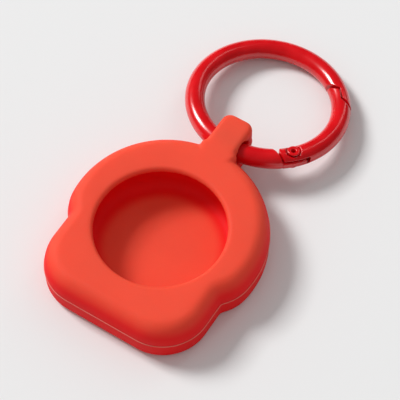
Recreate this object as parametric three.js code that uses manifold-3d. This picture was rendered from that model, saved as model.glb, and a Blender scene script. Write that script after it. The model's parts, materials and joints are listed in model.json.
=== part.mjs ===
// Silicone holder for a round tracker tag, hung on a spring-gate key ring.
// Millimetres, +Z up. The holder lies on its back: Z is the axis of the tag pocket, the
// strap loop points along +Y, and the ring passes through the loop and rests on the ground.

import * as THREE from 'three';
import { mergeVertices } from 'three/addons/utils/BufferGeometryUtils.js';
import Module from 'manifold-3d';

const wasm = await Module();
wasm.setup();

const rad = THREE.MathUtils.degToRad;

// ---- driving dimensions -------------------------------------------------------------

const TAG_RADIUS = 15.95;          // the disc that the pocket is made for
const CASE_HEIGHT = 10.2;
const PARTING_HEIGHT = 4.9;        // where the two halves of the mould meet

const HEAD_RADIUS = 21.8;          // the round head of the holder
const HEAD_Y = 2.0;
const SHOULDER_RADIUS = 9.4;       // the head's outline tightens here before the neck
const SHOULDER_FROM = rad(-38);
const SHOULDER_TO = rad(-8);
const NECK_FILLET = 1.0;
const FOOT_HALF_WIDTH = 18.85;
const FOOT_Y = -22.6;
const FOOT_CORNER = 10.3;
const FRONT_ROUND_IN = 3.5;        // the front edge is a quarter ellipse
const BACK_ROUND = 1.5;

const POCKET_RADIUS = TAG_RADIUS + 0.15;
const POCKET_FLOOR = 1.4;
const POCKET_ROUND = 2.5;
const POCKET_SHOULDER_Z = 6.4;     // the wall starts to lean in over the tag
const MOUTH_RADIUS = 14.0;
const MOUTH_ROUND = 0.9;

const LOOP_HALF_WIDTH = 3.65;
const LOOP_END_Y = 32.2;
const LOOP_ROOT_Y = 17.0;           // the strap starts inside the head
const LOOP_CORNER = 2.1;
const LOOP_ROUND = 1.2;
const LOOP_FILLET = 0.8;
const LOOP_HOLE_Y = 26.45;
const LOOP_HOLE_Z = 6.55;
const LOOP_HOLE_RADIUS = 2.8;

const RING_RADIUS = 16.2;          // to the middle of the wire
const WIRE_RADIUS = 2.2;
const GAP = 0.4;                   // between the gate and the ring at their seams
const RING_ASIDE = 0.9;            // the ring lies this far to one side in the loop's slack
const RING_NEAR_Y = 26.12;         // the middle of its wire, where it is nearest the pocket
const RING_NEAR_Z = 6.6;

const PIVOT_ANGLE = rad(-40.5);    // angles round the ring, 0 along +X, -90 at the loop
const SHOULDER_SEAM = 3.2;         // from the pivot back to the seam
const SHOULDER_SLANT = 0.3;
const HEEL_RADIUS = 3.12;          // the gate's heel, round about the pivot
const LATCH_ANGLE = rad(43.6);
const NOSE_ANGLE = rad(33.6);
const NOSE_SLANT_ANGLE = rad(22);  // where the nose's slant would meet SEAM_REACH_OUT
const SEAM_REACH_OUT = 20.2;
const SEAM_REACH_IN = 4.6;
const PLAN_INNER_RADIUS = 12.5;    // the gate's plan runs inside the wire, down to here

const TONGUE_THICKNESS = 1.2;
const TONGUE_REACH = 2.6;          // past the pivot
const TONGUE_ROOT = 1.0;           // how far it is let into the ring's body
const TONGUE_INNER = -1.4;         // from the wire's middle, toward the ring's centre
const TONGUE_PROUD = 0.08;
const SLOT_CLEARANCE = 0.3;
const SLOT_REACH = 3.45;
const SLOT_THROUGH_REACH = 1.0;

const RIVET_RADIUS = 0.85;
const RIVET_HEAD_RADIUS = 1.35;
const RIVET_HEAD_THICKNESS = 0.4;
const RIVET_HALF_LENGTH = 2.2;
const RIVET_BORE_RADIUS = 0.5;
const SPOT_FACE_RADIUS = 1.72;

const BORE_FROM = rad(-30);        // the straight bore for the spring is a chord of the ring
const BORE_TO = rad(-7);
const BORE_RADIUS = 1.2;
const PLUNGER_RADIUS = 0.85;
const PLUNGER_LENGTH = 2.3;
const PLUNGER_GAP = 0.3;           // from its tip to the tongue
const SPRING_RADIUS = 0.78;        // to the middle of the spring's wire
const SPRING_WIRE = 0.15;
const SPRING_TURNS = 5;

const OVERCUT = 1;                 // how far a cutting shape runs past what it cuts
const WIRE_REACH = WIRE_RADIUS + 2; // from the wire's middle to well outside it
const RING_SIDES = 24;             // flats round the wire's section, and along the ring
const RING_STEPS = 96;
const POCKET_STEPS = 72;

const RED_SILICONE = { color: 0xe8503a, roughness: 0.75, metalness: 0.0 };
const RED_PAINT = { color: 0xd0101c, roughness: 0.22, metalness: 0.0 };
const BARE_STEEL = { color: 0xb4b6ba, roughness: 0.35, metalness: 1.0 };

// ---- solids: three.js shapes in, joined and cut by manifold, three.js geometry out -----

function solid(geometry) {
  const bare = geometry.clone();
  bare.deleteAttribute('normal');
  bare.deleteAttribute('uv');
  const welded = mergeVertices(bare, 1e-5);
  const mesh = new wasm.Mesh({
    numProp: 3,
    vertProperties: new Float32Array(welded.attributes.position.array),
    triVerts: new Uint32Array(welded.index.array),
  });
  return new wasm.Manifold(mesh);
}

function geometryOf(body) {
  const mesh = body.getMesh();
  const geometry = new THREE.BufferGeometry();
  geometry.setAttribute('position', new THREE.BufferAttribute(mesh.vertProperties, 3));
  geometry.setIndex(new THREE.BufferAttribute(mesh.triVerts, 1));
  return geometry;
}

function meshOf(name, body, finish) {
  const mesh = new THREE.Mesh(geometryOf(body), new THREE.MeshStandardMaterial(finish));
  mesh.name = name;
  return mesh;
}

function slab(shape, bottom, top) {
  const geometry = new THREE.ExtrudeGeometry(shape, { depth: top - bottom, bevelEnabled: false });
  return solid(geometry.translate(0, 0, bottom));
}

// A slab whose upper and lower edges are rounded inward by quarter ellipses.
function roundedSlab(shape, bottom, top, roundIn, roundDown, steps) {
  const geometry = new THREE.ExtrudeGeometry(shape, {
    depth: top - bottom - 2 * roundDown,
    bevelThickness: roundDown,
    bevelSize: roundIn,
    bevelOffset: -roundIn,
    bevelSegments: steps,
  });
  return solid(geometry.translate(0, 0, bottom + roundDown));
}

function box(x0, x1, y0, y1, z0, z1) {
  const geometry = new THREE.BoxGeometry(x1 - x0, y1 - y0, z1 - z0);
  return solid(geometry.translate((x0 + x1) / 2, (y0 + y1) / 2, (z0 + z1) / 2));
}

function rod(radius, bottom, top, sides) {
  const geometry = new THREE.CylinderGeometry(radius, radius, top - bottom, sides);
  return solid(geometry.rotateX(Math.PI / 2).translate(0, 0, (top + bottom) / 2));
}

// A solid of revolution about Z, from [radius, z] points that start and end on the axis.
function turned(profile, sides) {
  const points = profile.map(([r, z]) => new THREE.Vector2(r, z));
  return solid(new THREE.LatheGeometry(points, sides).rotateX(Math.PI / 2));
}

function arc(x, y, radius, from, to, steps) {
  return new THREE.EllipseCurve(x, y, radius, radius, from, to, to < from).getPoints(steps);
}

const polar = (radius, angle) => new THREE.Vector2(radius * Math.cos(angle), radius * Math.sin(angle));

// ---- the silicone holder ---------------------------------------------------------------

// Right half of the outline, from the middle of the foot round to the top of the head.
function caseHalfOutline() {
  const head = new THREE.Vector2(0, HEAD_Y);
  const shoulder = head.clone().add(polar(HEAD_RADIUS - SHOULDER_RADIUS, SHOULDER_TO));
  const shoulderEnd = shoulder.clone().add(polar(SHOULDER_RADIUS, SHOULDER_FROM));
  const turn = -SHOULDER_FROM;
  const neckY = shoulderEnd.y - (shoulderEnd.x - FOOT_HALF_WIDTH) / Math.tan(turn);
  const neckCentreY = neckY - NECK_FILLET * Math.tan(turn / 2);
  const cornerX = FOOT_HALF_WIDTH - FOOT_CORNER;
  const cornerY = FOOT_Y + FOOT_CORNER;
  return [
    ...arc(cornerX, cornerY, FOOT_CORNER, rad(-90), 0, 12),
    ...arc(FOOT_HALF_WIDTH + NECK_FILLET, neckCentreY, NECK_FILLET, Math.PI, Math.PI - turn, 3),
    ...arc(shoulder.x, shoulder.y, SHOULDER_RADIUS, SHOULDER_FROM, SHOULDER_TO, 5),
    ...arc(head.x, head.y, HEAD_RADIUS, SHOULDER_TO, rad(90), 20).slice(1),
  ];
}

function caseOutline() {
  const right = caseHalfOutline();
  const left = right.slice(0, -1).reverse().map((p) => new THREE.Vector2(-p.x, p.y));
  return new THREE.Shape([...right, ...left]);
}

// The strap's plan, flared where it grows out of the head.
function loopOutline() {
  const reach = HEAD_RADIUS + LOOP_FILLET;
  const filletX = LOOP_HALF_WIDTH + LOOP_FILLET;
  const filletY = HEAD_Y + Math.sqrt(reach * reach - filletX * filletX);
  const meets = Math.atan2(filletY - HEAD_Y, filletX) - Math.PI;
  const cornerX = LOOP_HALF_WIDTH - LOOP_CORNER;
  const cornerY = LOOP_END_Y - LOOP_CORNER;
  const root = new THREE.Vector2(filletX - LOOP_FILLET, LOOP_ROOT_Y);
  const right = [
    root,
    ...arc(filletX, filletY, LOOP_FILLET, meets, -Math.PI, 4),
    ...arc(cornerX, cornerY, LOOP_CORNER, 0, rad(90), 5),
  ];
  const left = right.slice().reverse().map((p) => new THREE.Vector2(-p.x, p.y));
  return new THREE.Shape([...right, ...left]);
}

// What the pocket takes out: a wall that leans in over the tag, and a rounded mouth.
function pocketCavity() {
  const roundX = POCKET_RADIUS - POCKET_ROUND;
  const shoulderEnd = Math.acos((MOUTH_RADIUS - roundX) / POCKET_ROUND);
  const mouthX = MOUTH_RADIUS + MOUTH_ROUND;
  const mouthZ = CASE_HEIGHT - MOUTH_ROUND;
  const top = CASE_HEIGHT + OVERCUT;
  const points = [
    ...arc(roundX, POCKET_FLOOR + POCKET_ROUND, POCKET_ROUND, rad(-90), 0, 6),
    ...arc(roundX, POCKET_SHOULDER_Z, POCKET_ROUND, 0, shoulderEnd, 6),
    ...arc(mouthX, mouthZ, MOUTH_ROUND, Math.PI, rad(90), 4),
  ];
  const rim = points.map((p) => [p.x, p.y]);
  return turned([[0, POCKET_FLOOR], ...rim, [mouthX, top], [0, top]], POCKET_STEPS);
}

function siliconeCase() {
  const outline = caseOutline();
  const far = 2 * HEAD_RADIUS;
  const above = box(-far, far, -far, far, PARTING_HEIGHT, CASE_HEIGHT + OVERCUT);
  const below = box(-far, far, -far, far, -OVERCUT, PARTING_HEIGHT);
  const frontRoundDown = CASE_HEIGHT - PARTING_HEIGHT;
  const frontBottom = PARTING_HEIGHT - frontRoundDown - OVERCUT;
  const front = roundedSlab(outline, frontBottom, CASE_HEIGHT, FRONT_ROUND_IN, frontRoundDown, 8);
  const back = roundedSlab(outline, 0, 2 * PARTING_HEIGHT, BACK_ROUND, BACK_ROUND, 4);
  const loop = roundedSlab(loopOutline(), 0, CASE_HEIGHT, LOOP_ROUND, LOOP_ROUND, 4);
  const drill = new THREE.CylinderGeometry(LOOP_HOLE_RADIUS, LOOP_HOLE_RADIUS, far, 32);
  const hole = solid(drill.rotateZ(Math.PI / 2).translate(0, LOOP_HOLE_Y, LOOP_HOLE_Z));
  const body = front.intersect(above).add(back.intersect(below)).add(loop)
    .subtract(pocketCavity())
    .subtract(hole);
  return meshOf('silicone_case', body, RED_SILICONE);
}

// ---- the ring, in its own plane: Z is its axis and its middle is the origin ---------------

const pivot = polar(RING_RADIUS, PIVOT_ANGLE);
const outward = polar(1, PIVOT_ANGLE);
const along = new THREE.Vector2(-outward.y, outward.x);

// A point given from the pivot: forward along the gate, and out from the ring's centre.
function fromPivot(forward, out) {
  return pivot.clone().addScaledVector(along, forward).addScaledVector(outward, out);
}

// The face that the gate's tip swings past stands square to the line from the pivot.
function latchFaceDirection() {
  const toTip = polar(RING_RADIUS, LATCH_ANGLE).sub(pivot).normalize();
  return new THREE.Vector2(-toTip.y, toTip.x);
}

// The gate's heel: round about the pivot on the inner side, so that it clears the ring's
// shoulder as it swings, and straight where the arc would pass the seam.
function heelCurve(seam) {
  const slope = 1 + SHOULDER_SLANT * SHOULDER_SLANT;
  const half = seam * SHOULDER_SLANT;
  const root = Math.sqrt(half * half - slope * (seam * seam - HEEL_RADIUS * HEEL_RADIUS));
  const crossing = (half + root) / slope;
  const inward = PIVOT_ANGLE + Math.PI;
  const backward = PIVOT_ANGLE + 1.5 * Math.PI;
  const crossingAngle = backward - Math.asin(crossing / HEEL_RADIUS);
  return arc(pivot.x, pivot.y, HEEL_RADIUS, inward, crossingAngle, 8);
}

// Plan of the part of the ring that the gate fills. Grown by half the gap it is what is cut
// from the ring, and shrunk by half the gap it is the gate itself.
function gatePlan(grow, roundHeel) {
  const turnBy = grow / RING_RADIUS;
  const tip = polar(RING_RADIUS + grow, LATCH_ANGLE + turnBy);
  const tipInner = tip.clone().addScaledVector(latchFaceDirection(), SEAM_REACH_IN);
  const noseRoot = polar(RING_RADIUS + grow, NOSE_ANGLE + turnBy);
  const seam = -SHOULDER_SEAM - grow;
  const heelOuter = fromPivot(seam + SHOULDER_SLANT * WIRE_REACH, WIRE_REACH);
  const heelInner = fromPivot(seam - SHOULDER_SLANT * WIRE_REACH, -WIRE_REACH);
  const outerFrom = Math.atan2(heelOuter.y, heelOuter.x);
  const innerFrom = Math.atan2(tipInner.y, tipInner.x);
  const innerTo = roundHeel ? PIVOT_ANGLE : Math.atan2(heelInner.y, heelInner.x);
  return new THREE.Shape([
    heelOuter,
    ...arc(0, 0, SEAM_REACH_OUT, outerFrom, NOSE_SLANT_ANGLE + turnBy, 16),
    noseRoot,
    tip,
    tipInner,
    ...arc(0, 0, PLAN_INNER_RADIUS, innerFrom, innerTo, 16),
    ...(roundHeel ? heelCurve(seam) : [heelInner]),
  ]);
}

function wholeRing() {
  return solid(new THREE.TorusGeometry(RING_RADIUS, WIRE_RADIUS, RING_SIDES, RING_STEPS));
}

function rivetHole() {
  const radius = RIVET_RADIUS + SLOT_CLEARANCE;
  const half = WIRE_RADIUS + OVERCUT;
  return rod(radius, -half, half, 24).translate([pivot.x, pivot.y, 0]);
}

// The flat tongue that the ring sends into the gate's slot, to carry the rivet.
function tongue() {
  const shoulder = -SHOULDER_SEAM - GAP / 2;
  const inBody = shoulder - TONGUE_ROOT;
  const plan = new THREE.Shape([
    fromPivot(inBody, TONGUE_INNER),
    fromPivot(TONGUE_REACH, TONGUE_INNER),
    fromPivot(TONGUE_REACH, WIRE_REACH),
    fromPivot(shoulder + SHOULDER_SLANT * WIRE_REACH, WIRE_REACH),
    fromPivot(shoulder, 0),
    fromPivot(inBody, 0),
  ]);
  const half = TONGUE_THICKNESS / 2;
  const rim = rod(RING_RADIUS + WIRE_RADIUS + TONGUE_PROUD, -half - OVERCUT, half + OVERCUT, 144);
  return slab(plan, -half, half).intersect(rim);
}

function ringBody() {
  const cut = slab(gatePlan(GAP / 2, false), -WIRE_REACH, WIRE_REACH);
  const body = wholeRing().subtract(cut).add(tongue()).subtract(rivetHole());
  return meshOf('ring_body', body, RED_PAINT);
}

// Room for the tongue: right through at the heel, and open only outward past the pivot.
function gateSlot() {
  const half = TONGUE_THICKNESS / 2 + SLOT_CLEARANCE;
  const floor = TONGUE_INNER - SLOT_CLEARANCE;
  const back = -SHOULDER_SEAM - WIRE_REACH;
  const plan = new THREE.Shape([
    fromPivot(back, -WIRE_REACH),
    fromPivot(SLOT_THROUGH_REACH, -WIRE_REACH),
    fromPivot(SLOT_THROUGH_REACH, floor),
    fromPivot(SLOT_REACH, floor),
    fromPivot(SLOT_REACH, WIRE_REACH),
    fromPivot(back, WIRE_REACH),
  ]);
  return slab(plan, -half, half);
}

// Flats let into both sides of the gate for the rivet's heads.
function spotFaces() {
  const floor = RIVET_HALF_LENGTH - RIVET_HEAD_THICKNESS - SLOT_CLEARANCE;
  const upper = rod(SPOT_FACE_RADIUS, floor, WIRE_REACH, 32);
  const lower = rod(SPOT_FACE_RADIUS, -WIRE_REACH, -floor, 32);
  return upper.add(lower).translate([pivot.x, pivot.y, 0]);
}

// ---- the spring's bore: a straight chord of the gate, with its own frame -------------------

const boreStart = polar(RING_RADIUS, BORE_FROM);
const boreEnd = polar(RING_RADIUS, BORE_TO);
const boreLength = boreStart.distanceTo(boreEnd);
const boreDirection = boreEnd.clone().sub(boreStart).normalize();

// Puts a shape made along +Z on the bore, its zero at a distance from the bore's start.
function onBore(geometry, distance) {
  const start = boreStart.clone().addScaledVector(boreDirection, distance);
  const turn = new THREE.Quaternion().setFromUnitVectors(
    new THREE.Vector3(0, 0, 1),
    new THREE.Vector3(boreDirection.x, boreDirection.y, 0),
  );
  return geometry.applyQuaternion(turn).translate(start.x, start.y, 0);
}

function springBore() {
  const startsBefore = 0.6;
  const length = boreLength + startsBefore;
  const drill = new THREE.CylinderGeometry(BORE_RADIUS, BORE_RADIUS, length, 24);
  drill.rotateX(Math.PI / 2).translate(0, 0, length / 2);
  return solid(onBore(drill, -startsBefore));
}

function ringGate() {
  const plan = slab(gatePlan(-GAP / 2, true), -WIRE_REACH, WIRE_REACH);
  const body = wholeRing().intersect(plan)
    .subtract(gateSlot())
    .subtract(rivetHole())
    .subtract(spotFaces())
    .subtract(springBore());
  return meshOf('ring_gate', body, RED_PAINT);
}

// A tubular rivet: a hollow shank between two flanged heads.
function gateRivet() {
  const chamfer = RIVET_HEAD_THICKNESS / 3;
  const top = RIVET_HALF_LENGTH;
  const under = top - RIVET_HEAD_THICKNESS;
  const half = [
    [RIVET_RADIUS, under],
    [RIVET_HEAD_RADIUS, under],
    [RIVET_HEAD_RADIUS, top - chamfer],
    [RIVET_HEAD_RADIUS - chamfer, top],
    [RIVET_BORE_RADIUS, top],
  ];
  const lower = half.slice().reverse().map(([r, z]) => [r, -z]);
  const profile = [...lower, ...half, lower[0]];
  const body = turned(profile, 24).translate([pivot.x, pivot.y, 0]);
  return meshOf('gate_rivet', body, RED_PAINT);
}

// How far along the bore the plunger's tip lies, clear of the tongue's end.
function plungerStart() {
  const tipTilt = 0.2;
  const forward = boreStart.clone().sub(pivot).dot(along);
  const wanted = TONGUE_REACH + PLUNGER_GAP + tipTilt;
  return (wanted - forward) / boreDirection.dot(along);
}

function springPlunger() {
  const nose = PLUNGER_RADIUS / 2;
  const profile = [[0, 0], [nose, 0], [PLUNGER_RADIUS, nose], [PLUNGER_RADIUS, PLUNGER_LENGTH],
    [0, PLUNGER_LENGTH]];
  const points = profile.map(([r, z]) => new THREE.Vector2(r, z));
  const geometry = new THREE.LatheGeometry(points, 16).rotateX(Math.PI / 2);
  return meshOf('spring_plunger', solid(onBore(geometry, plungerStart())), BARE_STEEL);
}

class Helix extends THREE.Curve {
  constructor(radius, length, turns) {
    super();
    Object.assign(this, { radius, length, turns });
  }

  getPoint(t, target = new THREE.Vector3()) {
    const angle = 2 * Math.PI * this.turns * t;
    return target.set(this.radius * Math.cos(angle), this.radius * Math.sin(angle), this.length * t);
  }
}

function gateSpring() {
  const start = plungerStart() + PLUNGER_LENGTH + GAP + SPRING_WIRE;
  const length = boreLength - start - GAP;
  const section = new THREE.Shape(arc(0, 0, SPRING_WIRE, 0, 2 * Math.PI, 6).slice(0, -1));
  const path = new Helix(SPRING_RADIUS, length, SPRING_TURNS);
  const options = { steps: SPRING_TURNS * 12, bevelEnabled: false, extrudePath: path };
  const geometry = new THREE.ExtrudeGeometry(section, options);
  return meshOf('gate_spring', solid(onBore(geometry, start)), BARE_STEEL);
}

// ---- assembly ---------------------------------------------------------------------------

// The ring passes through the loop's hole and its far side rests on the ground.
function keyRing() {
  const tilt = Math.asin((RING_NEAR_Z - WIRE_RADIUS) / (2 * RING_RADIUS));
  const ring = new THREE.Group();
  ring.add(ringBody(), ringGate(), gateRivet(), springPlunger(), gateSpring());
  ring.rotation.x = -tilt;
  const middleY = RING_NEAR_Y + RING_RADIUS * Math.cos(tilt);
  const middleZ = RING_NEAR_Z - RING_RADIUS * Math.sin(tilt);
  ring.position.set(RING_ASIDE, middleY, middleZ);
  return ring;
}

const tagHolder = new THREE.Group();
tagHolder.add(siliconeCase(), keyRing());

export default tagHolder;
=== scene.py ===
"""Studio look of a silicone holder for a round tracker tag, hung on a spring-gate key ring.

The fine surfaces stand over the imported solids: the soft moulding with its parting line, the
enamelled ring and its gate, the hollow rivet, and the spring and plunger inside the gate.
Shapes are worked in millimetres and stored in metres, in the solids' own frame.
"""

import json
import math
from types import SimpleNamespace

import bmesh
import bpy
from bpy.props import FloatProperty, FloatVectorProperty, IntProperty, PointerProperty
from mathutils import Matrix, Vector


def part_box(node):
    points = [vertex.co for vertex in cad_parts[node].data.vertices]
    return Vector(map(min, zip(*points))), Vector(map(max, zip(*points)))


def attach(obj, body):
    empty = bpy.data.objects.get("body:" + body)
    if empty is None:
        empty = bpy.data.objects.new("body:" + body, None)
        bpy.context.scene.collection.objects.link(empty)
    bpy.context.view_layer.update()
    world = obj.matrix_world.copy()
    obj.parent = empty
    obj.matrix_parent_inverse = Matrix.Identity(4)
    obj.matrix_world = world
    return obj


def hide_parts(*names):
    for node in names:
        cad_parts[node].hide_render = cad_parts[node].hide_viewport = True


bl_info = {
    "name": "Tag holder and key ring",
    "version": (1, 0, 0),
    "blender": (4, 5, 0),
    "location": "3D View > Sidebar > Tag holder",
    "description": "Builds a silicone tag holder on a spring-gate key ring, and its studio",
    "category": "Object",
}

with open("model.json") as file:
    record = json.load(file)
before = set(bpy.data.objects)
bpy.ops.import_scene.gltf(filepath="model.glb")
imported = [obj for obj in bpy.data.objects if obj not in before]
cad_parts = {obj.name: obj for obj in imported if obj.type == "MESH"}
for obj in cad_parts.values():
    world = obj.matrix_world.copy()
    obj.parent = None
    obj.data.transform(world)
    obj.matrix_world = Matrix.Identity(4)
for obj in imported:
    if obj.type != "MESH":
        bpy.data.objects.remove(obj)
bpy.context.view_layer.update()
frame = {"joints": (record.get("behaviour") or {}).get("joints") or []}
JOINTS = {joint["name"]: joint for joint in frame["joints"]}
CASE_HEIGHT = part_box("silicone_case")[1].z

MM = 0.001
TINY = 1e-4  # millimetres: corners nearer than this are one corner


# ---- sizes and colours that a user would change --------------------------------------------


def length(name, description, size_mm):
    return FloatProperty(
        name=name, description=description, default=size_mm * MM, unit="LENGTH", precision=5
    )


def angle(name, description, degrees):
    return FloatProperty(
        name=name, description=description, default=math.radians(degrees), unit="ROTATION"
    )


def share(name, description, value):
    return FloatProperty(name=name, description=description, default=value, min=0.0, max=1.0)


def colour(name, description, value):
    return FloatVectorProperty(
        name=name, description=description, default=value, subtype="COLOR", min=0.0, max=1.0
    )


class HolderSizes(bpy.types.PropertyGroup):
    """The silicone moulding."""

    head_radius: length("Head radius", "Round head of the holder", 21.8)
    head_y: length("Head centre", "The head's middle, along the holder", 2.0)
    shoulder_radius: length("Shoulder radius", "Tighter round below the head", 9.4)
    shoulder_from: angle("Shoulder from", "Where the shoulder meets the neck", -38)
    shoulder_to: angle("Shoulder to", "Where the shoulder meets the head", -8)
    neck_fillet: length("Neck fillet", "Hollow between shoulder and foot", 1.0)
    foot_half_width: length("Foot half width", "From the middle to the foot's side", 18.85)
    foot_y: length("Foot end", "The foot's straight edge, along the holder", -22.6)
    foot_corner: length("Foot corner", "Radius of the foot's corners", 10.3)
    front_round: length("Front round", "How far in the front edge is rounded", 3.5)
    back_round: length("Back round", "Radius of the back edge", 1.5)
    parting_height: length("Parting height", "Where the mould's halves meet", 4.9)
    parting_bead: length("Parting bead", "Radius of the raised parting line", 0.13)
    pocket_radius: length("Pocket radius", "Bore for the tag", 16.1)
    pocket_floor: length("Pocket floor", "Thickness under the tag", 1.4)
    pocket_round: length("Pocket round", "Round inside the pocket", 2.5)
    pocket_shoulder: length("Pocket shoulder", "Where the wall starts to lean in", 6.4)
    mouth_radius: length("Mouth radius", "Opening over the tag", 14.0)
    mouth_round: length("Mouth round", "Radius of the lip's edge", 0.9)
    loop_half_width: length("Loop half width", "Half the strap's width", 3.65)
    loop_end_y: length("Loop end", "The strap's far end", 32.2)
    loop_root_y: length("Loop root", "Where the strap starts, inside the head", 17.0)
    loop_corner: length("Loop corner", "Radius of the strap's end corners", 2.1)
    loop_round: length("Loop round", "Radius of the strap's edges", 1.2)
    loop_fillet: length("Loop fillet", "Where the strap grows out of the head", 0.8)
    loop_hole_radius: length("Loop hole radius", "Hole that the ring passes through", 2.8)
    grain: length("Surface grain", "Spacing of the moulding's mesh", 0.28)
    easing: IntProperty(name="Easing", description="How much its edges soften", default=5)


class RingSizes(bpy.types.PropertyGroup):
    """The spring-gate ring, in its own plane. Angles are 0 along +X and -90 at the loop."""

    ring_radius: length("Ring radius", "To the middle of the wire", 16.2)
    wire_radius: length("Wire radius", "Half the wire's thickness", 2.2)
    gap: length("Seam gap", "Between the gate and the ring", 0.4)
    pivot_angle: angle("Pivot angle", "Where the rivet is", -40.5)
    shoulder_seam: length("Shoulder seam", "From the rivet back to the seam", 3.2)
    heel_radius: length("Heel radius", "The gate's round heel", 3.12)
    latch_angle: angle("Latch angle", "The gate's tip", 43.6)
    nose_angle: angle("Nose angle", "Where the gate's nose starts", 33.6)
    nose_slant: angle("Nose slant", "Where the nose's slant would leave the wire", 22)
    tongue_thickness: length("Tongue thickness", "The tongue that holds the rivet", 1.2)
    tongue_reach: length("Tongue reach", "How far it goes past the rivet", 2.6)
    clearance: length("Clearance", "Between the tongue and the gate's slot", 0.3)
    rivet_radius: length("Rivet radius", "The rivet's shank", 0.85)
    rivet_head: length("Rivet head", "Radius of its heads", 1.35)
    rivet_bore: length("Rivet bore", "Radius of the hollow through it", 0.5)
    rivet_half: length("Rivet half length", "From its middle to a head's top", 2.2)
    spot_face: length("Spot face", "Radius of the recess for a head", 1.72)
    bore_radius: length("Bore radius", "The hole for the spring", 1.2)
    plunger_radius: length("Plunger radius", "The pin ahead of the spring", 0.85)
    plunger_length: length("Plunger length", "The pin's length", 2.3)
    spring_radius: length("Spring radius", "To the middle of its wire", 0.78)
    spring_wire: length("Spring wire", "Radius of its wire", 0.15)
    spring_turns: IntProperty(name="Spring turns", description="Coils in the spring", default=5)
    grain: length("Surface grain", "Spacing of the ring's mesh", 0.125)
    easing: IntProperty(name="Easing", description="How much its edges soften", default=3)


class Finishes(bpy.types.PropertyGroup):
    """Colours and gloss."""

    silicone: colour("Silicone", "The moulding's colour", (0.86, 0.080, 0.041))
    # Painted shade: a darker, more saturated red given down the moulding's sides and the pocket's
    # wall.
    silicone_deep: colour("Deep silicone", "Its colour down its sides", (0.82, 0.006, 0.007))
    # The flash colour is paler than the silicone: painted highlight along the raised parting line.
    silicone_flash: colour("Flash", "The thin parting line's colour", (0.90, 0.20, 0.16))
    silicone_roughness: share("Silicone roughness", "How matt the moulding is", 0.6)
    enamel: colour("Enamel", "The ring's colour", (0.72, 0.002, 0.006))
    enamel_roughness: share("Enamel roughness", "How glossy the ring is", 0.24)
    steel: colour("Steel", "The spring's and plunger's colour", (0.5, 0.5, 0.52))


class Studio(bpy.types.PropertyGroup):
    """Camera, lights and floor."""

    azimuth: angle("Azimuth", "Camera's turn round the holder", 32.2)
    elevation: angle("Elevation", "Camera's height above the floor", 58.2)
    distance: length("Distance", "From the camera to what it aims at", 350)
    lens: FloatProperty(name="Lens", description="Focal length, mm", default=150.6)
    aim: FloatVectorProperty(
        name="Aim",
        description="The point that the camera looks at",
        default=(3.30 * MM, 10.18 * MM, 9.25 * MM),
        subtype="TRANSLATION",
        precision=5,
    )
    key_power: FloatProperty(name="Key", description="Power of the main softbox, W", default=308.0)
    strip_power: FloatProperty(name="Strip", description="Power of the strip light, W", default=0.35)
    ambient: share("Ambient", "Brightness of the white room round it", 0.42)
    floor: colour("Floor", "The floor's colour", (0.82, 0.82, 0.82))


def worked(group):
    """The group's values by name, with its lengths in millimetres."""
    values = {}
    for key in group.__annotations__:
        value = getattr(group, key)
        is_length = group.bl_rna.properties[key].unit == "LENGTH"
        values[key] = value / MM if is_length else value
    return SimpleNamespace(**values)


# ---- shapes --------------------------------------------------------------------------------


def polar(radius, at):
    return Vector((radius * math.cos(at), radius * math.sin(at)))


def verts_of(made):
    return [part for part in made if isinstance(part, bmesh.types.BMVert)]


class Outline:
    """A flat line drawn by corners and arcs, then raised into a prism or turned on an axis."""

    def __init__(self):
        self.bm = bmesh.new()
        self.first = None
        self.last = None

    def corner(self, x, y):
        vert = self.bm.verts.new((x, y, 0))
        if self.last is None:
            self.first = vert
        else:
            self.bm.edges.new((self.last, vert))
        self.last = vert

    def arc(self, x, y, radius, start, end, steps):
        self.corner(*(Vector((x, y)) + polar(radius, start)))
        spun = bmesh.ops.spin(
            self.bm, geom=[self.last], cent=(x, y, 0), axis=(0, 0, 1), angle=end - start, steps=steps
        )
        self.last = verts_of(spun["geom_last"])[0]

    def mirror(self, axis):
        """Adds the outline's mirror image, and joins it on where the two meet."""
        geom = self.bm.verts[:] + self.bm.edges[:]
        bmesh.ops.mirror(self.bm, geom=geom, axis=axis, merge_dist=TINY)

    def close(self):
        self.bm.edges.new((self.last, self.first))

    def prism(self, bottom, top):
        bm = self.bm
        bmesh.ops.remove_doubles(bm, verts=bm.verts, dist=TINY)
        bmesh.ops.contextual_create(bm, geom=bm.edges[:])
        bmesh.ops.translate(bm, vec=(0, 0, bottom), verts=bm.verts)
        raised = bmesh.ops.extrude_face_region(bm, geom=bm.faces[:])
        bmesh.ops.translate(bm, vec=(0, 0, top - bottom), verts=verts_of(raised["geom"]))
        bmesh.ops.recalc_face_normals(bm, faces=bm.faces)
        return bm

    def turned(self, steps):
        """Stands the line up, its X as the radius and its Y as the height, and turns it on Z."""
        bm = self.bm
        upright = Matrix.Rotation(math.pi / 2, 3, "X")
        bmesh.ops.rotate(bm, cent=(0, 0, 0), matrix=upright, verts=bm.verts)
        spin_round(bm, bm.verts[:] + bm.edges[:], steps)
        return bm


def spin_round(bm, geom, steps):
    bmesh.ops.spin(
        bm, geom=geom, cent=(0, 0, 0), axis=(0, 0, 1), angle=2 * math.pi, steps=steps, use_merge=True
    )
    bmesh.ops.remove_doubles(bm, verts=bm.verts, dist=TINY)
    bmesh.ops.recalc_face_normals(bm, faces=bm.faces)


def rim(bm, height):
    """The edges that lie flat at that height."""
    return [e for e in bm.edges if all(abs(v.co.z - height) < TINY for v in e.verts)]


def round_edges(bm, edges, radius, segments):
    bmesh.ops.bevel(
        bm,
        geom=edges,
        offset=radius,
        offset_type="OFFSET",
        segments=segments,
        profile=0.5,
        affect="EDGES",
        clamp_overlap=False,
        material=-1,
    )


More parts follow.
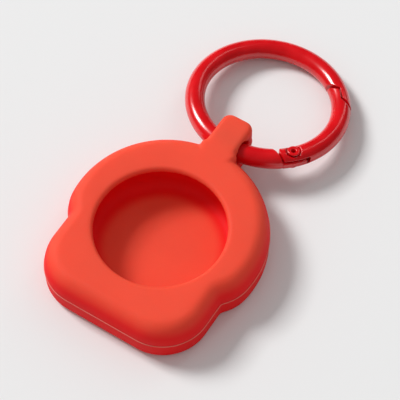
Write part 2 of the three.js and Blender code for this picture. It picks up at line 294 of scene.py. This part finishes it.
def rod(radius, bottom, top, segments, place=None):
    bm = bmesh.new()
    middle = Matrix.Translation((0, 0, (top + bottom) / 2))
    bmesh.ops.create_cone(
        bm,
        cap_ends=True,
        segments=segments,
        radius1=radius,
        radius2=radius,
        depth=top - bottom,
        matrix=(place or Matrix.Identity(4)) @ middle,
    )
    return bm


def as_object(bm, name):
    """An object that holds the bmesh, which is then freed."""
    mesh = bpy.data.meshes.new(name)
    bm.to_mesh(mesh)
    bm.free()
    obj = bpy.data.objects.new(name, mesh)
    bpy.context.scene.collection.objects.link(obj)
    return obj


def settle(obj):
    """Applies the object's modifiers to its mesh."""
    depsgraph = bpy.context.evaluated_depsgraph_get()
    mesh = bpy.data.meshes.new_from_object(obj.evaluated_get(depsgraph))
    obj.modifiers.clear()
    obj.data = mesh
    if not mesh.polygons:
        raise RuntimeError(f"{obj.name} came out empty")


def joined(obj, operation, *tools):
    """Joins the tool shapes to the object, or cuts them from it, and removes them."""
    cutters = [as_object(tool, f"{obj.name}_tool") for tool in tools]
    for cutter in cutters:
        change = obj.modifiers.new(operation.title(), "BOOLEAN")
        change.operation = operation
        change.solver = "EXACT"
        change.object = cutter
    settle(obj)
    for cutter in cutters:
        bpy.data.objects.remove(cutter)


def soften(obj, grain, easing):
    """Lays an even mesh over the shape and eases its edges, as a mould or a coat of paint does."""
    even = obj.modifiers.new("Even mesh", "REMESH")
    even.mode = "VOXEL"
    even.voxel_size = grain
    smooth = obj.modifiers.new("Eased edges", "SMOOTH")
    smooth.factor = 0.5
    smooth.iterations = easing
    settle(obj)


def finish_piece(obj, material, body, slot, *stands_for, place=None):
    """Stores the shape in metres, in its place, with its finish, riding on its body."""
    obj.data.transform(Matrix.Scale(MM, 4) @ (place or Matrix.Identity(4)))
    obj.data.shade_smooth()
    obj.data.materials.clear()
    obj.data.materials.append(material)
    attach(obj, body)
    if stands_for:
        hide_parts(*stands_for)


# ---- materials -----------------------------------------------------------------------------


class Value:
    """A node's output that takes part in sums: each one adds the Math node that works it out."""

    def __init__(self, finish, socket):
        self.finish = finish
        self.socket = socket

    def math(self, operation, first, second):
        return self.finish.add("ShaderNodeMath", {"operation": operation}, {0: first, 1: second})

    def __add__(self, other):
        return self.math("ADD", self, other)

    def __radd__(self, other):
        return self.math("ADD", other, self)

    def __sub__(self, other):
        return self.math("SUBTRACT", self, other)

    def __rsub__(self, other):
        return self.math("SUBTRACT", other, self)

    def __mul__(self, other):
        return self.math("MULTIPLY", self, other)

    def __rmul__(self, other):
        return self.math("MULTIPLY", other, self)


class Finish:
    """One procedural material and its nodes. Patterns read Object coordinates, in metres."""

    def __init__(self, name):
        self.material = bpy.data.materials.new(name)
        self.material.use_nodes = True
        self.tree = self.material.node_tree
        self.tree.nodes.clear()
        self.place = self.add("ShaderNodeTexCoord", {}, {}, "Object")

    def add(self, kind, settings, sockets, output=0):
        """Adds a node: its settings first, then its sockets' values or links."""
        node = self.tree.nodes.new(kind)
        for key, value in settings.items():
            setattr(node, key, value)
        for key, value in sockets.items():
            if isinstance(value, Value):
                self.tree.links.new(value.socket, node.inputs[key])
            else:
                node.inputs[key].default_value = value
        return Value(self, node.outputs[output])

    def noise(self, per_metre, detail=2.0, stretch=(1, 1, 1)):
        """Soft noise from 0 to 1, its features about 1 / per_metre across."""
        where = self.add("ShaderNodeMapping", {}, {"Vector": self.place, "Scale": stretch})
        return self.add(
            "ShaderNodeTexNoise", {}, {"Vector": where, "Scale": per_metre, "Detail": detail}
        )

    def ramp(self, value, low, high):
        """0 below low, 1 above high, and smooth between."""
        return self.add(
            "ShaderNodeMapRange",
            {"interpolation_type": "SMOOTHSTEP"},
            {"Value": value, "From Min": low, "From Max": high},
        )

    def blend(self, amount, first, second):
        """One colour turning into another."""
        return self.mix(amount, (*first, 1), (*second, 1))

    def mix(self, amount, first, second):
        return self.add("ShaderNodeMix", {"data_type": "RGBA"}, {0: amount, 6: first, 7: second}, 2)

    def along(self, axis):
        """How far along the axis, in metres."""
        return self.add("ShaderNodeSeparateXYZ", {}, {0: self.place}, axis)

    def from_axis(self):
        """How far out from the Z axis, in metres."""
        flat = self.add("ShaderNodeCombineXYZ", {}, {0: self.along("X"), 1: self.along("Y")})
        return self.add("ShaderNodeVectorMath", {"operation": "LENGTH"}, {0: flat}, "Value")

    def bump(self, height, distance, over=None):
        sockets = {"Height": height, "Distance": distance, "Strength": 1.0}
        if over is not None:
            sockets["Normal"] = over
        return self.add("ShaderNodeBump", {}, sockets)

    def surface(self, **sockets):
        """The Principled surface. Underscores in a socket's name stand for its spaces."""
        named = {key.replace("_", " "): value for key, value in sockets.items()}
        shader = self.add("ShaderNodeBsdfPrincipled", {}, named)
        self.add_output(shader)
        return self.material

    def add_output(self, shader):
        node = self.tree.nodes.new("ShaderNodeOutputMaterial")
        self.tree.links.new(shader.socket, node.inputs["Surface"])


# Painted shade: where the silicone is given a darker red than its front.
PAINTED_SHADE_BELOW = (7.0 * MM, 10.1 * MM)  # heights between which the sides turn to the darker red of the painted shade
PAINTED_SHADE_BEYOND = (11.0 * MM, 14.2 * MM)  # and how far out from the pocket's axis


def shade(base, factor):
    return tuple(min(1.0, part * factor) for part in base)


def silicone(name, base, painted_shade, roughness):
    """Matt moulded silicone: a fine eroded grain, faint flow clouding and slow unevenness.

    It turns to a darker red down its sides and down the pocket's wall, but not on the
    pocket's floor: that darker red is painted shade."""
    finish = Finish(name)
    # Painted shade mask: low on the moulding, and out at the pocket's wall and beyond.
    low = 1.0 - finish.ramp(finish.along("Z"), *PAINTED_SHADE_BELOW)
    painted_shade_mask = low * finish.ramp(finish.from_axis(), *PAINTED_SHADE_BEYOND)
    clouds = finish.noise(70, 3)
    grain = finish.noise(5200, 3)
    waves = finish.noise(160, 1)
    mottle = clouds * 0.7 + grain * 0.3
    cloudy = finish.ramp(mottle, 0.3, 0.7)
    front = finish.blend(cloudy, shade(base, 0.965), shade(base, 1.035))
    # The painted shade's darker red, with the same random tone.
    side = finish.blend(cloudy, shade(painted_shade, 0.965), shade(painted_shade, 1.035))
    tint = finish.mix(painted_shade_mask, front, side)
    rough = roughness - 0.04 + cloudy * 0.08
    uneven = finish.bump(waves, 0.00006)
    normal = finish.bump(grain, 0.000012, over=uneven)
    return finish.surface(
        Base_Color=tint,
        Roughness=rough,
        Normal=normal,
        Specular_IOR_Level=0.14,
        Subsurface_Weight=0.4,
        Subsurface_Radius=(1.0, 0.05, 0.03),
        Subsurface_Scale=0.004,
    )


def enamel(base, roughness):
    """Gloss stove enamel over cast zinc: thick paint with a slight orange peel."""
    finish = Finish("red enamel")
    peel = finish.noise(950, 2)
    pooling = finish.noise(210, 2)
    specks = finish.noise(7000, 2)
    depth = finish.ramp(pooling, 0.3, 0.7)
    tint = finish.blend(depth, shade(base, 0.92), shade(base, 1.06))
    rough = roughness - 0.03 + depth * 0.05 + finish.ramp(specks, 0.55, 0.8) * 0.04
    coat = 0.6 + finish.ramp(peel, 0.3, 0.7) * 0.1
    normal = finish.bump(peel, 0.000006, over=finish.bump(pooling, 0.00001))
    return finish.surface(
        Base_Color=tint,
        Roughness=rough,
        Coat_Weight=coat,
        Coat_Roughness=0.2,
        Specular_IOR_Level=0.5,
        Normal=normal,
    )


def steel(base):
    """Bright drawn steel with fine lengthwise lines and a trace of oil."""
    finish = Finish("drawn steel")
    lines = finish.noise(9000, 2, stretch=(1, 0.08, 1))
    oil = finish.ramp(finish.noise(1500, 2), 0.4, 0.65)
    tint = finish.blend(oil, base, shade(base, 0.82))
    rough = 0.26 + lines * 0.12 - oil * 0.06
    normal = finish.bump(lines, 0.000003)
    return finish.surface(Base_Color=tint, Roughness=rough, Metallic=1.0, Normal=normal)


def shared(name, maker, *values):
    """The material of that name, made the first time that it is asked for."""
    return bpy.data.materials.get(name) or maker(*values)


# ---- the silicone holder -------------------------------------------------------------------


def holder_block(p):
    """The moulding's body, its front edge a quarter ellipse down to the parting line."""
    shoulder = Vector((0, p.head_y)) + polar(p.head_radius - p.shoulder_radius, p.shoulder_to)
    shoulder_end = shoulder + polar(p.shoulder_radius, p.shoulder_from)
    turn = -p.shoulder_from
    neck_y = shoulder_end.y - (shoulder_end.x - p.foot_half_width) / math.tan(turn)
    neck_x = p.foot_half_width + p.neck_fillet
    neck_y -= p.neck_fillet * math.tan(turn / 2)
    corner_x = p.foot_half_width - p.foot_corner
    corner_y = p.foot_y + p.foot_corner
    half = Outline()
    half.corner(0, p.foot_y)
    half.arc(corner_x, corner_y, p.foot_corner, -math.pi / 2, 0, 24)
    half.arc(neck_x, neck_y, p.neck_fillet, math.pi, math.pi - turn, 8)
    half.arc(*shoulder, p.shoulder_radius, p.shoulder_from, p.shoulder_to, 12)
    half.arc(0, p.head_y, p.head_radius, p.shoulder_to, math.pi / 2, 56)
    half.mirror("X")
    height = CASE_HEIGHT / MM
    bm = half.prism(0, height)
    flatten = p.front_round / (height - p.parting_height)
    bmesh.ops.scale(bm, vec=(1, 1, flatten), verts=bm.verts)
    round_edges(bm, rim(bm, height * flatten), p.front_round, 16)
    bmesh.ops.scale(bm, vec=(1, 1, 1 / flatten), verts=bm.verts)
    round_edges(bm, rim(bm, 0), p.back_round, 8)
    return bm


def strap(p):
    """The loop's strap, flared where it grows out of the head and flush with the front."""
    reach = p.head_radius + p.loop_fillet
    fillet_x = p.loop_half_width + p.loop_fillet
    fillet_y = p.head_y + math.sqrt(reach * reach - fillet_x * fillet_x)
    meets = math.atan2(fillet_y - p.head_y, fillet_x) - math.pi
    corner_x = p.loop_half_width - p.loop_corner
    corner_y = p.loop_end_y - p.loop_corner
    half = Outline()
    half.corner(0, p.loop_root_y)
    half.corner(p.loop_half_width, p.loop_root_y)
    half.arc(fillet_x, fillet_y, p.loop_fillet, meets, -math.pi, 12)
    half.arc(corner_x, corner_y, p.loop_corner, 0, math.pi / 2, 12)
    half.corner(0, p.loop_end_y)
    half.mirror("X")
    height = CASE_HEIGHT / MM
    bm = half.prism(0, height)
    round_edges(bm, rim(bm, height) + rim(bm, 0), p.loop_round, 8)
    return bm


def pocket(p):
    """What the pocket takes out: a wall that leans in over the tag, and a rounded lip."""
    height = CASE_HEIGHT / MM
    round_x = p.pocket_radius - p.pocket_round
    lean = math.acos((p.mouth_radius - round_x) / p.pocket_round)
    mouth_x = p.mouth_radius + p.mouth_round
    line = Outline()
    line.corner(0, p.pocket_floor)
    line.arc(round_x, p.pocket_floor + p.pocket_round, p.pocket_round, -math.pi / 2, 0, 12)
    line.arc(round_x, p.pocket_shoulder, p.pocket_round, 0, lean, 12)
    line.arc(mouth_x, height - p.mouth_round, p.mouth_round, math.pi, math.pi / 2, 10)
    line.corner(mouth_x, height + 1)
    line.corner(0, height + 1)
    return line.turned(180)


def loop_hole(p):
    swing = Vector(JOINTS["ring_swing"]["pos_m"]) / MM
    across = Matrix.Translation(swing) @ Matrix.Rotation(math.pi / 2, 4, "Y")
    return rod(p.loop_hole_radius, -p.head_radius, p.head_radius, 96, across)


def parting_edges(bm, p):
    """Slices the moulding at the parting line, and leaves only the edges on its outside."""
    geom = bm.verts[:] + bm.edges[:] + bm.faces[:]
    cut = bmesh.ops.bisect_plane(
        bm, geom=geom, plane_co=(0, 0, p.parting_height), plane_no=(0, 0, 1)
    )
    swing = Vector(JOINTS["ring_swing"]["pos_m"]) / MM
    half_hole = math.sqrt(p.loop_hole_radius**2 - (swing.z - p.parting_height) ** 2)
    inside = p.pocket_radius + 1
    kept = set()
    for edge in cut["geom_cut"]:
        if isinstance(edge, bmesh.types.BMEdge):
            middle = (edge.verts[0].co + edge.verts[1].co) / 2
            in_hole = abs(middle.y - swing.y) < half_hole + p.grain and middle.y > p.head_radius
            if middle.xy.length > inside and not in_hole:
                kept.add(edge)
    bmesh.ops.delete(bm, geom=bm.faces[:], context="FACES_ONLY")
    bmesh.ops.delete(bm, geom=[e for e in bm.edges if e not in kept], context="EDGES")
    bmesh.ops.delete(bm, geom=[v for v in bm.verts if not v.link_edges], context="VERTS")


class TAGHOLDER_OT_moulding(bpy.types.Operator):
    """Builds the silicone holder, with its pocket and its strap loop"""

    bl_idname = "tagholder.moulding"
    bl_label = "Silicone moulding"

    def execute(self, context):
        p = worked(context.scene.holder_sizes)
        looks = context.scene.finishes
        skin = as_object(holder_block(p), "holder_skin")
        joined(skin, "UNION", strap(p))
        joined(skin, "DIFFERENCE", pocket(p), loop_hole(p))
        soften(skin, p.grain, p.easing)
        # The second colour is painted shade, given down the sides and the pocket's wall.
        front, painted_shade = looks.silicone, looks.silicone_deep
        material = silicone("red silicone", front, painted_shade, looks.silicone_roughness)
        finish_piece(skin, material, "holder", "silicone", "silicone_case")
        return {"FINISHED"}


class TAGHOLDER_OT_parting_line(bpy.types.Operator):
    """Runs the mould's raised parting line round the moulding's outside"""

    bl_idname = "tagholder.parting_line"
    bl_label = "Parting line"

    def execute(self, context):
        p = worked(context.scene.holder_sizes)
        looks = context.scene.finishes
        bm = bmesh.new()
        bm.from_mesh(bpy.data.objects["holder_skin"].data)
        bmesh.ops.scale(bm, vec=(1 / MM,) * 3, verts=bm.verts)
        parting_edges(bm, p)
        line = as_object(bm, "parting_line")
        for obj in context.selected_objects:
            obj.select_set(False)
        line.select_set(True)
        context.view_layer.objects.active = line
        bpy.ops.object.convert(target="CURVE")
        line.data.bevel_depth = p.parting_bead
        line.data.bevel_resolution = 2
        line.data.use_fill_caps = True
        bpy.ops.object.convert(target="MESH")
        # Paler colour on the parting line's bead: painted highlight.
        flash_painted_highlight = looks.silicone_flash
        material = silicone("red silicone flash", flash_painted_highlight, flash_painted_highlight, looks.silicone_roughness)
        finish_piece(line, material, "holder", "silicone")
        return {"FINISHED"}


# ---- the ring, drawn flat about its middle ---------------------------------------------------


class RingPlan:
    """Where things are on the ring, from its sizes."""

    slant = 0.3  # of the shoulder's seam
    seam_out = 20.2  # how far out and in the seams are drawn
    seam_in = 4.6
    inner = 12.5
    tongue_inner = -1.4
    tongue_root = 1.0
    tongue_proud = 0.08
    slot_reach = 3.45
    slot_through = 1.0
    head_thickness = 0.4
    bore_from = math.radians(-30)
    bore_to = math.radians(-7)
    bore_lead = 0.6
    plunger_gap = 0.5
    body_plain = (math.radians(54), math.radians(305))  # runs of wire clear of every seam
    gate_plain = (math.radians(-26), math.radians(20))
    plain_fade = math.radians(3)

    def __init__(self, p):
        self.p = p
        self.pivot = polar(p.ring_radius, p.pivot_angle)
        self.outward = polar(1, p.pivot_angle)
        self.along = Vector((-self.outward.y, self.outward.x))
        self.reach = p.wire_radius + 2
        start = polar(p.ring_radius, self.bore_from)
        end = polar(p.ring_radius, self.bore_to)
        self.bore_start = start.to_3d()
        self.bore_length = (end - start).length
        self.bore_direction = (end - start).normalized().to_3d()

    def place(self):
        """Lays the flat ring through the strap loop, its far side on the ground."""
        hinge = JOINTS["gate_hinge"]
        turn = Matrix.Rotation(-math.asin(hinge["axis"][1]), 4, "X")
        middle = Vector(hinge["pos_m"]) / MM - turn @ self.pivot.to_3d()
        return Matrix.Translation(middle) @ turn

    def from_pivot(self, forward, out):
        return self.pivot + self.along * forward + self.outward * out

    def wire(self):
        """The whole ring, before it is cut."""
        bm = bmesh.new()
        upright = Matrix.Translation((self.p.ring_radius, 0, 0)) @ Matrix.Rotation(
            math.pi / 2, 4, "X"
        )
        bmesh.ops.create_circle(
            bm, cap_ends=False, radius=self.p.wire_radius, segments=72, matrix=upright
        )
        spin_round(bm, bm.verts[:] + bm.edges[:], 240)
        return bm

    def heel(self, line, seam):
        """The gate's heel, round about the pivot, down to the shoulder's seam."""
        p = self.p
        slope = 1 + self.slant**2
        half = seam * self.slant
        root = math.sqrt(half**2 - slope * (seam**2 - p.heel_radius**2))
        crossing = (half + root) / slope
        inward = p.pivot_angle + math.pi
        backward = p.pivot_angle + 1.5 * math.pi
        end = backward - math.asin(crossing / p.heel_radius)
        line.arc(*self.pivot, p.heel_radius, inward, end, 24)

    def gate(self, grow, round_heel):
        """The gate's part of the ring. Grown, it is what is cut out for it."""
        p = self.p
        turn = grow / p.ring_radius
        tip = polar(p.ring_radius + grow, p.latch_angle + turn)
        to_tip = (polar(p.ring_radius, p.latch_angle) - self.pivot).normalized()
        tip_inner = tip + Vector((-to_tip.y, to_tip.x)) * self.seam_in
        nose = polar(p.ring_radius + grow, p.nose_angle + turn)
        seam = -p.shoulder_seam - grow
        heel_outer = self.from_pivot(seam + self.slant * self.reach, self.reach)
        heel_inner = self.from_pivot(seam - self.slant * self.reach, -self.reach)
        outer_from = math.atan2(heel_outer.y, heel_outer.x)
        inner_from = math.atan2(tip_inner.y, tip_inner.x)
        inner_to = p.pivot_angle if round_heel else math.atan2(heel_inner.y, heel_inner.x)
        line = Outline()
        line.corner(*heel_outer)
        line.arc(0, 0, self.seam_out, outer_from, p.nose_slant + turn, 48)
        line.corner(*nose)
        line.corner(*tip)
        line.corner(*tip_inner)
        line.arc(0, 0, self.inner, inner_from, inner_to, 48)
        if round_heel:
            self.heel(line, seam)
        else:
            line.corner(*heel_inner)
        line.close()
        return line.prism(-self.reach, self.reach)

    def plate(self, half_thickness, *corners):
        """A flat plate from corners given as forward of the pivot and out from it."""
        line = Outline()
        for forward, out in corners:
            line.corner(*self.from_pivot(forward, out))
        line.close()
        return line.prism(-half_thickness, half_thickness)

    def tongue(self):
        p = self.p
        shoulder = -p.shoulder_seam - p.gap / 2
        root = shoulder - self.tongue_root
        plate = as_object(
            self.plate(
                p.tongue_thickness / 2,
                (root, self.tongue_inner),
                (p.tongue_reach, self.tongue_inner),
                (p.tongue_reach, self.reach),
                (shoulder + self.slant * self.reach, self.reach),
                (shoulder, 0),
                (root, 0),
            ),
            "tongue",
        )
        outer = p.ring_radius + p.wire_radius + self.tongue_proud
        joined(plate, "INTERSECT", rod(outer, -p.wire_radius, p.wire_radius, 360))
        bm = bmesh.new()
        bm.from_mesh(plate.data)
        bpy.data.objects.remove(plate)
        return bm

    def slot(self):
        """Room for the tongue: right through at the heel, open only outward past the pivot."""
        floor = self.tongue_inner - self.p.clearance
        back = -self.p.shoulder_seam - self.reach
        return self.plate(
            self.p.tongue_thickness / 2 + self.p.clearance,
            (back, -self.reach),
            (self.slot_through, -self.reach),
            (self.slot_through, floor),
            (self.slot_reach, floor),
            (self.slot_reach, self.reach),
            (back, self.reach),
        )

    def at_pivot(self):
        return Matrix.Translation(self.pivot.to_3d())

    def rivet_hole(self):
        radius = self.p.rivet_radius + self.p.clearance
        return rod(radius, -self.reach, self.reach, 64, self.at_pivot())

    def spot_faces(self):
        floor = self.p.rivet_half - self.head_thickness - self.p.clearance
        upper = rod(self.p.spot_face, floor, self.reach, 72, self.at_pivot())
        lower = rod(self.p.spot_face, -self.reach, -floor, 72, self.at_pivot())
        return upper, lower

    def on_bore(self, distance):
        """Puts a shape made along +Z on the bore, its zero that far along it."""
        turn = Vector((0, 0, 1)).rotation_difference(self.bore_direction)
        start = self.bore_start + self.bore_direction * distance
        return Matrix.Translation(start) @ turn.to_matrix().to_4x4()

    def bore(self):
        place = self.on_bore(-self.bore_lead)
        return rod(self.p.bore_radius, 0, self.bore_length + self.bore_lead, 64, place)

    def plunger_start(self):
        forward = (self.bore_start.xy - self.pivot).dot(self.along)
        wanted = self.p.tongue_reach + self.plunger_gap
        return (wanted - forward) / self.bore_direction.xy.dot(self.along)

    def even_wire(self, obj, start, end):
        """Evens the plain run of the wire, between those angles, to its exact round."""
        p = self.p
        for vert in obj.data.vertices:
            at = (math.atan2(vert.co.y, vert.co.x) - start) % (2 * math.pi)
            inside = min(at, end - start - at)
            if inside > 0:
                spine = (vert.co.xy.normalized() * p.ring_radius).to_3d()
                true = spine + (vert.co - spine).normalized() * p.wire_radius
                vert.co = vert.co.lerp(true, min(1.0, inside / self.plain_fade))


class TAGHOLDER_OT_ring_body(bpy.types.Operator):
    """Builds the ring's fixed part, with the tongue that carries the rivet"""

    bl_idname = "tagholder.ring_body"
    bl_label = "Ring body"

    def execute(self, context):
        p = worked(context.scene.ring_sizes)
        looks = context.scene.finishes
        plan = RingPlan(p)
        ring = as_object(plan.wire(), "ring_wire")
        joined(ring, "DIFFERENCE", plan.gate(p.gap / 2, False))
        joined(ring, "UNION", plan.tongue())
        joined(ring, "DIFFERENCE", plan.rivet_hole())
        soften(ring, p.grain, p.easing)
        plan.even_wire(ring, *plan.body_plain)
        material = shared("red enamel", enamel, looks.enamel, looks.enamel_roughness)
        finish_piece(ring, material, "ring", "red_paint", "ring_body", place=plan.place())
        return {"FINISHED"}


class TAGHOLDER_OT_gate(bpy.types.Operator):
    """Builds the ring's gate, slotted for the tongue and bored for the spring"""

    bl_idname = "tagholder.gate"
    bl_label = "Gate"

    def execute(self, context):
        p = worked(context.scene.ring_sizes)
        looks = context.scene.finishes
        plan = RingPlan(p)
        gate = as_object(plan.wire(), "gate_wire")
        joined(gate, "INTERSECT", plan.gate(-p.gap / 2, True))
        joined(gate, "DIFFERENCE", plan.slot())
        joined(gate, "DIFFERENCE", plan.rivet_hole(), *plan.spot_faces())
        joined(gate, "DIFFERENCE", plan.bore())
        soften(gate, p.grain, p.easing)
        plan.even_wire(gate, *plan.gate_plain)
        material = shared("red enamel", enamel, looks.enamel, looks.enamel_roughness)
        finish_piece(gate, material, "gate", "red_paint", "ring_gate", place=plan.place())
        return {"FINISHED"}


class TAGHOLDER_OT_rivet(bpy.types.Operator):
    """Builds the hollow rivet that the gate turns on, with its rolled heads"""

    bl_idname = "tagholder.rivet"
    bl_label = "Hollow rivet"
    edge = 0.12  # the small bevel under each head
    shoulder = 0.22  # the round at each head's rim
    rim_inset = 0.1
    lip_share = 0.6  # how much of the head's width rolls into the bore

    def execute(self, context):
        p = worked(context.scene.ring_sizes)
        looks = context.scene.finishes
        plan = RingPlan(p)
        under = p.rivet_half - plan.head_thickness
        roll = (p.rivet_head - p.rivet_bore) / 2
        lip = roll * self.lip_share
        shoulder_x = p.rivet_head - self.edge - self.rim_inset
        half = Outline()
        half.corner(p.rivet_bore, 0)
        half.corner(p.rivet_bore, p.rivet_half - roll)
        half.arc(p.rivet_bore + lip, p.rivet_half - lip, lip, math.pi, math.pi / 2, 10)
        half.arc(shoulder_x, p.rivet_half - self.shoulder, self.shoulder, math.pi / 2, 0, 8)
        half.corner(p.rivet_head, under + self.edge)
        half.corner(p.rivet_head - self.edge / 2, under)
        half.corner(p.rivet_radius, under)
        half.corner(p.rivet_radius, 0)
        half.mirror("Y")
        rivet = as_object(half.turned(96), "hollow_rivet")
        material = shared("red enamel", enamel, looks.enamel, looks.enamel_roughness)
        place = plan.place() @ plan.at_pivot()
        finish_piece(rivet, material, "ring", "red_paint", "gate_rivet", place=place)
        return {"FINISHED"}


class TAGHOLDER_OT_spring(bpy.types.Operator):
    """Builds the coil spring and the plunger inside the gate"""

    bl_idname = "tagholder.spring"
    bl_label = "Spring and plunger"

    def execute(self, context):
        p = worked(context.scene.ring_sizes)
        looks = context.scene.finishes
        plan = RingPlan(p)
        material = shared("drawn steel", steel, looks.steel)
        tip = plan.plunger_start()
        nose = p.plunger_radius / 2
        line = Outline()
        line.corner(0, 0)
        line.arc(p.plunger_radius - nose, nose, nose, -math.pi / 2, 0, 10)
        line.corner(p.plunger_radius, p.plunger_length)
        line.corner(0, p.plunger_length)
        plunger = as_object(line.turned(64), "plunger_pin")
        place = plan.place() @ plan.on_bore(tip)
        finish_piece(plunger, material, "plunger", "spring_steel", "spring_plunger", place=place)
        start = tip + p.plunger_length + p.gap
        travel = plan.bore_length - start - p.gap - 2 * p.spring_wire
        coil = as_object(self.coil(p, travel), "gate_coil")
        place = plan.place() @ plan.on_bore(start + p.spring_wire)
        finish_piece(coil, material, "gate", "spring_steel", "gate_spring", place=place)
        return {"FINISHED"}

    def coil(self, p, travel):
        """A round wire wound about Z, both its ends closed."""
        bm = bmesh.new()
        steps = 48 * p.spring_turns
        upright = Matrix.Translation((p.spring_radius, 0, 0)) @ Matrix.Rotation(
            math.pi / 2, 4, "X"
        )
        bmesh.ops.create_circle(
            bm, cap_ends=False, radius=p.spring_wire, segments=12, matrix=upright
        )
        bmesh.ops.spin(
            bm,
            geom=bm.verts[:] + bm.edges[:],
            cent=(0, 0, 0),
            axis=(0, 0, 1),
            dvec=(0, 0, travel / steps),
            angle=2 * math.pi * p.spring_turns,
            steps=steps,
        )
        bmesh.ops.holes_fill(bm, edges=[e for e in bm.edges if e.is_boundary])
        bmesh.ops.recalc_face_normals(bm, faces=bm.faces)
        return bm


# ---- the studio ------------------------------------------------------------------------------


FLOOR_HALF = 4.0
# Each softbox: its width and height, the direction it stands in, and how far off, in metres.
KEY_BOX = (1.8, 1.8, (-0.738, 0.014, 0.675), 6.0)
STRIP_BOX = (0.08, 0.6, (0.15, 0.9, 0.7), 0.8)


def softbox(name, power, size, tall, direction, distance):
    """A softbox that stands in that direction and faces the holder."""
    light = bpy.data.lights.new(name, "AREA")
    light.shape = "RECTANGLE"
    light.size = size
    light.size_y = tall
    light.energy = power
    obj = bpy.data.objects.new(name, light)
    bpy.context.scene.collection.objects.link(obj)
    towards = Vector(direction).normalized()
    obj.location = towards * distance
    obj.rotation_mode = "QUATERNION"
    obj.rotation_quaternion = towards.to_track_quat("Z", "Y")


class TAGHOLDER_OT_studio(bpy.types.Operator):
    """Sets the pale floor, the soft lights and the camera"""

    bl_idname = "tagholder.studio"
    bl_label = "Studio"

    def execute(self, context):
        scene = context.scene
        studio = scene.studio
        bm = bmesh.new()
        bmesh.ops.create_grid(bm, x_segments=1, y_segments=1, size=FLOOR_HALF)
        ground = as_object(bm, "floor")
        paper = Finish("floor paper")
        tone = paper.blend(paper.noise(300), studio.floor, shade(studio.floor, 0.995))
        ground.data.materials.append(paper.surface(Base_Color=tone, Roughness=0.9))
        world = bpy.data.worlds.new("white room")
        world.use_nodes = True
        sky = world.node_tree.nodes["Background"]
        sky.inputs["Color"].default_value = (1, 1, 1, 1)
        sky.inputs["Strength"].default_value = studio.ambient
        scene.world = world
        world.cycles_visibility.glossy = False
        softbox("key", studio.key_power, *KEY_BOX)
        softbox("strip", studio.strip_power, *STRIP_BOX)
        self.camera(scene, studio)
        scene.view_settings.view_transform = "Standard"
        scene.view_settings.look = "None"
        return {"FINISHED"}

    def camera(self, scene, studio):
        lens = bpy.data.cameras.new("camera")
        lens.sensor_width = 36.0
        lens.lens = studio.lens
        lens.clip_start = 0.01
        camera = bpy.data.objects.new("camera", lens)
        scene.collection.objects.link(camera)
        level = math.cos(studio.elevation)
        back = Vector(
            (
                math.sin(studio.azimuth) * level,
                -math.cos(studio.azimuth) * level,
                math.sin(studio.elevation),
            )
        )
        camera.location = Vector(studio.aim) + back * studio.distance
        camera.rotation_mode = "QUATERNION"
        camera.rotation_quaternion = back.to_track_quat("Z", "Y")
        scene.camera = camera


class TAGHOLDER_PT_panel(bpy.types.Panel):
    """Lists the pieces and the values that shape them"""

    bl_idname = "TAGHOLDER_PT_panel"
    bl_label = "Tag holder"
    bl_space_type = "VIEW_3D"
    bl_region_type = "UI"
    bl_category = "Tag holder"

    def draw(self, context):
        for step in STEPS:
            self.layout.operator(step.bl_idname)
        for name in GROUPS:
            group = getattr(context.scene, name)
            box = self.layout.box()
            for key in group.__annotations__:
                box.prop(group, key)


STEPS = (
    TAGHOLDER_OT_moulding,
    TAGHOLDER_OT_parting_line,
    TAGHOLDER_OT_ring_body,
    TAGHOLDER_OT_gate,
    TAGHOLDER_OT_rivet,
    TAGHOLDER_OT_spring,
    TAGHOLDER_OT_studio,
)
GROUPS = {
    "holder_sizes": HolderSizes,
    "ring_sizes": RingSizes,
    "finishes": Finishes,
    "studio": Studio,
}


def register():
    for made in (*GROUPS.values(), *STEPS, TAGHOLDER_PT_panel):
        bpy.utils.register_class(made)
    for name, group in GROUPS.items():
        setattr(bpy.types.Scene, name, PointerProperty(type=group))


def unregister():
    for name in GROUPS:
        delattr(bpy.types.Scene, name)
    for made in reversed((*GROUPS.values(), *STEPS, TAGHOLDER_PT_panel)):
        bpy.utils.unregister_class(made)


def main():
    register()
    bpy.ops.tagholder.moulding()
    bpy.ops.tagholder.parting_line()
    bpy.ops.tagholder.ring_body()
    bpy.ops.tagholder.gate()
    bpy.ops.tagholder.rivet()
    bpy.ops.tagholder.spring()
    bpy.ops.tagholder.studio()


if __name__ == "__main__":
    main()
